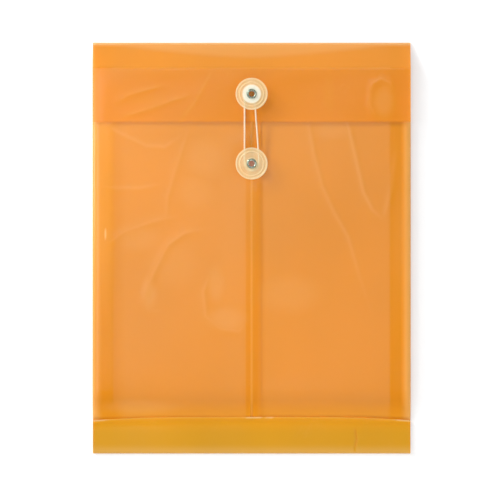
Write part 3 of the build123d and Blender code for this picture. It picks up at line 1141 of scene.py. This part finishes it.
string_points = [(-1.6, 113.2, string_low_z)]
string_points += round_hub(upper_button_y, -90, 180, tied_radius, loop_radius, string_low_z)
string_points += [(left_run_x, 112.0, string_low_z), (left_run_x, 74.0, string_low_z)]
string_points += round_hub(lower_button_y, 180, 360, loop_radius, loop_radius, string_low_z)
string_points += [(loop_radius, 73.0, string_low_z), (3.0, 106.5, string_high_z), (2.4, 114.5, string_high_z)]
string_points += round_hub(upper_button_y, -120, -360, loop_radius, loop_radius, string_high_z)
string_points.append((loop_radius, 118.6, string_high_z))


def line_of(points):
    """Points read from a smooth spline through the string's control points, in metres."""
    curve = bpy.data.curves.new("string_route", "CURVE")
    curve.dimensions = "3D"
    spline = curve.splines.new("NURBS")
    spline.points.add(len(points) - 1)
    for spot, place in zip(spline.points, points):
        spot.co = (*(Vector(place) * mm), 1)
    spline.order_u = 3
    spline.use_endpoint_u = True
    spline.resolution_u = spline_steps
    route = bpy.data.objects.new("string_route", curve)
    read = bpy.data.meshes.new_from_object(route)
    line = [vert.co.copy() for vert in read.vertices]
    bpy.data.meshes.remove(read)
    bpy.data.objects.remove(route)
    bpy.data.curves.remove(curve)
    return line


def even_steps(line, step):
    """Places on a line at even steps."""
    places, run = [line[0]], 0.0
    for one, two in zip(line, line[1:]):
        length = (two - one).length
        while length > 0 and run + length >= step:
            share = (step - run) / length
            one = one.lerp(two, share)
            places.append(one)
            length = (two - one).length
            run = 0.0
        run += length
    return places


def twisted_cord(name, line, material):
    """Closed tube with the three strands of a twisted cord standing out of it."""
    shape = bmesh.new()
    radius = string_diameter / 2 * mm
    across = Vector((0, 0, 1))
    rings = []
    for index, place in enumerate(line):
        along = (line[min(index + 1, len(line) - 1)] - line[max(index - 1, 0)]).normalized()
        across = (across - along * across.dot(along)).normalized()
        other = along.cross(across)
        turn = 2 * math.pi * index * string_step / twist_pitch
        ring = []
        for side in range(string_sides):
            angle = 2 * math.pi * side / string_sides
            strand = abs(math.cos(strand_count * (angle - turn) / 2))
            reach = radius * (1 - strand_depth + strand_depth * strand)
            ring.append(shape.verts.new(place + (across * math.cos(angle) + other * math.sin(angle)) * reach))
        rings.append(ring)
    for one, two in zip(rings, rings[1:]):
        for side in range(string_sides):
            shape.faces.new((one[side - 1], one[side], two[side], two[side - 1]))
    shape.faces.new(list(reversed(rings[0])))
    shape.faces.new(rings[-1])
    return put_in_scene(name, mesh_of(name, shape), material)


cotton_colours = ((0.78, 0.65, 0.46, 1), (0.92, 0.8, 0.6, 1))
cotton_roughness = (0.95, 0.8)
cotton_sheen = 0.3
cotton_sheen_roughness = 0.5


def cotton_material():
    """Undyed cotton: fibres along the cord, a little shade between them and a soft matt surface."""
    material, tree, shader = new_material("string_cotton")
    fibres = noise_over(tree, (6000, 2500, 6000), detail=3.0, roughness=0.6)
    feed(shader, {
        "Base Color": mix_colours(remap(fibres, *noise_middle, 0.0, 1.0), *cotton_colours),
        "Roughness": remap(fibres, *noise_middle, *cotton_roughness),
        "Sheen Weight": cotton_sheen,
        "Sheen Roughness": cotton_sheen_roughness,
        "Normal": relief_of(fibres, strength=0.5, depth=0.00005),
    })
    return material


string_line = even_steps(line_of(string_points), string_step * mm)
tie_string = twisted_cord("tie_string_cord", string_line, cotton_material())
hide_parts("tie_string")
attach(tie_string, "flap")
tuple(string_line[0])

# Table, light and camera: a white table in a dim white room with one bright patch overhead. Softboxes hang at
# the left, right and head, lower ones stand at the foot and the right, and a small window is at the left.
# A low sun from the upper left throws short shadows. The camera looks straight down. Sizes here are metres.
table_size = 3.0
table_drop = 0.0003
table_glow = 0.3
table_corners = [(-1, -1), (1, -1), (1, 1), (-1, 1)]
table_points = [(table_size * x, table_size * y, -table_drop) for x, y in table_corners]
table_mesh = bpy.data.meshes.new("table")
table_mesh.from_pydata(table_points, [], [(0, 1, 2, 3)])
table_white, table_tree, table_shader = new_material("table_white")
seen = add_node(table_tree, "ShaderNodeLightPath").outputs
seen_at_all = combine("MAXIMUM", seen["Is Camera Ray"], seen["Is Glossy Ray"])
seen_at_all = combine("MAXIMUM", seen_at_all, seen["Is Transmission Ray"])
feed(table_shader, {
    "Base Color": (0.9, 0.9, 0.9, 1),
    "Roughness": 0.9,
    "Specular IOR Level": 0.1,
    "Emission Color": (1, 1, 1, 1),
    "Emission Strength": combine("MULTIPLY", seen_at_all, table_glow),
})
table = put_in_scene("table", table_mesh, table_white)
table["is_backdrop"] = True

room_brightness = (0.05, 0.28)
room_full_height = 0.6
patch_direction = (-0.09, 0.10, 0.99)
patch_reach = 0.17
patch_brightness = 2.8
room = bpy.data.worlds.new("room")
bpy.context.scene.world = room
room.use_nodes = True
room_tree = room.node_tree
direction = add_node(room_tree, "ShaderNodeTexCoord").outputs["Generated"]
upwards = add_node(room_tree, "ShaderNodeSeparateXYZ", {"Vector": direction}).outputs["Z"]
wall = remap(upwards, 0.0, room_full_height, *room_brightness)
two_directions = {0: direction, 1: patch_direction}
overhead = add_node(room_tree, "ShaderNodeVectorMath", two_directions, operation="DISTANCE")
bright_patch = remap(overhead.outputs["Value"], 0.0, patch_reach, patch_brightness, 0.0)
feed(room_tree.nodes["Background"], {"Color": (1, 1, 1, 1), "Strength": combine("ADD", wall, bright_patch)})


def place_lamp(name, lamp, towards):
    """Puts a lamp into the scene, turned to shine along a direction."""
    lamp_object = bpy.data.objects.new(name, lamp)
    lamp_object.rotation_euler = Vector(towards).to_track_quat("-Z", "Y").to_euler()
    bpy.context.collection.objects.link(lamp_object)
    return lamp_object


# Each softbox has its place, its size across the line to the envelope and then along it, and its radiance.
for name, place, size, radiance in (
    ("left_softbox", (-0.345, 0.03, 1.33), (0.8, 0.26), 1.5),
    ("right_softbox", (0.345, 0.03, 1.33), (0.8, 0.26), 0.6),
    ("head_softbox", (0.0, 0.4, 1.33), (0.7, 0.26), 1.8),
    ("slope_softbox", (0.0, 1.17, 1.35), (1.2, 0.5), 0.35),
    ("window", (-0.42, 0.2, 0.42), (0.35, 0.25), 4.2),
    ("foot_softbox", (0.0, -1.3, 0.5), (1.4, 0.4), 5.0),
    ("side_softbox", (1.3, 0.0, 0.5), (1.4, 0.4), 2.8),
):
    lamp = bpy.data.lights.new(name, "AREA")
    lamp.shape = "RECTANGLE"
    lamp.size, lamp.size_y = size
    lamp.energy = radiance * math.pi * size[0] * size[1]
    place_lamp(name, lamp, Vector((0, 0, 0)) - Vector(place)).location = place

sun_strength = 3.0
sun_width = math.radians(8)
sun_towards = (0.757, -0.585, -0.289)
low_sun = bpy.data.lights.new("low_lamp", "SUN")
low_sun.energy = sun_strength
low_sun.angle = sun_width
place_lamp("low_lamp", low_sun, sun_towards)

camera_place = (-0.0013, -0.0015, 2.93)
camera_lens = 270
camera_sensor = 36
camera = bpy.data.cameras.new("camera")
camera.lens = camera_lens
camera.sensor_width = camera_sensor
camera_object = bpy.data.objects.new("camera", camera)
camera_object.location = camera_place
bpy.context.collection.objects.link(camera_object)
bpy.context.scene.camera = camera_object
bpy.context.scene.view_settings.view_transform = "Standard"

boxes = {"cad": cad_box, "visual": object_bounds()}
{key: [[float(v) for v in corner] for corner in box] for key, box in boxes.items()}
